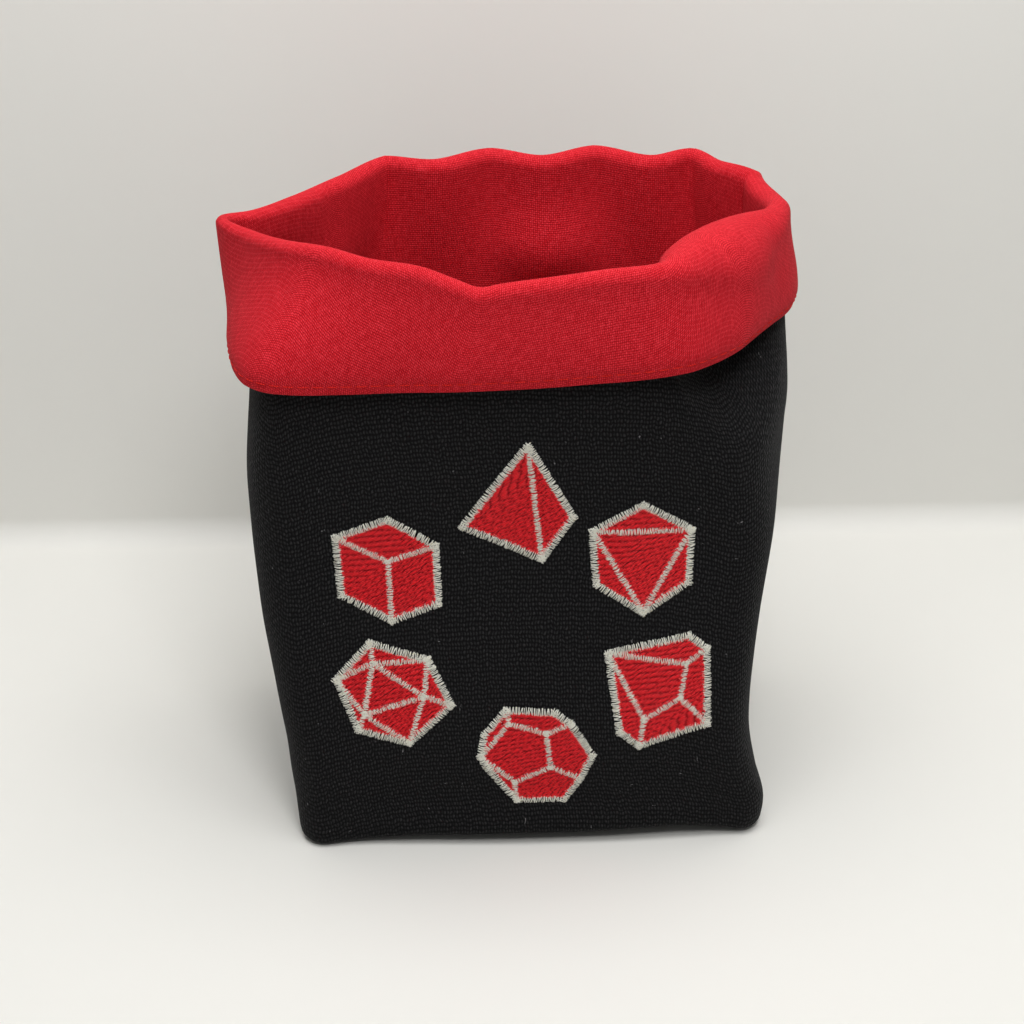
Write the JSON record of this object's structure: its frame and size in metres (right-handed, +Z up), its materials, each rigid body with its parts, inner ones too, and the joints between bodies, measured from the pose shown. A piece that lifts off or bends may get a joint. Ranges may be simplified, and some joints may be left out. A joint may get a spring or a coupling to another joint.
{
  "type": "cloth dice bag",
  "caption": "Free-standing cloth dice bag with a boxed base, a cotton lining folded out as a cuff, and polyhedral dice embroidered on the front.",
  "frame": {"origin": "middle of the base, on the table; the mouth stands a little left of and behind it", "axes": "+X to the right of the embroidered front, +Y to the back, +Z up"},
  "size_m": [0.1449, 0.0961, 0.1553],
  "materials": {
    "black_canvas": "matt plain-weave cotton canvas",
    "red_cotton": "matt plain-weave cotton",
    "red_thread": "glossy embroidery thread",
    "silver_thread": "metallic embroidery thread",
    "orange_red_thread": "polyester sewing thread",
    "black_thread": "polyester sewing thread",
    "white_backing": "matt non-woven stabiliser"
  },
  "bodies": {
    "root": {"base_seam_stitching": "black_thread", "cuff_topstitching": "orange_red_thread", "eight_sided_die_fill": "red_thread", "eight_sided_die_outline": "silver_thread", "embroidery_backing": "white_backing", "four_sided_die_fill": "red_thread", "four_sided_die_outline": "silver_thread", "left_seam_stitching": "black_thread", "lining_back_panel": "red_cotton", "lining_front_panel": "red_cotton", "outer_back_panel": "black_canvas", "outer_front_panel": "black_canvas", "right_seam_stitching": "black_thread", "six_sided_die_fill": "red_thread", "six_sided_die_outline": "silver_thread", "ten_sided_die_fill": "red_thread", "ten_sided_die_outline": "silver_thread", "twelve_sided_die_fill": "red_thread", "twelve_sided_die_outline": "silver_thread", "twenty_sided_die_fill": "red_thread", "twenty_sided_die_outline": "silver_thread"}
  },
  "joints": []
}
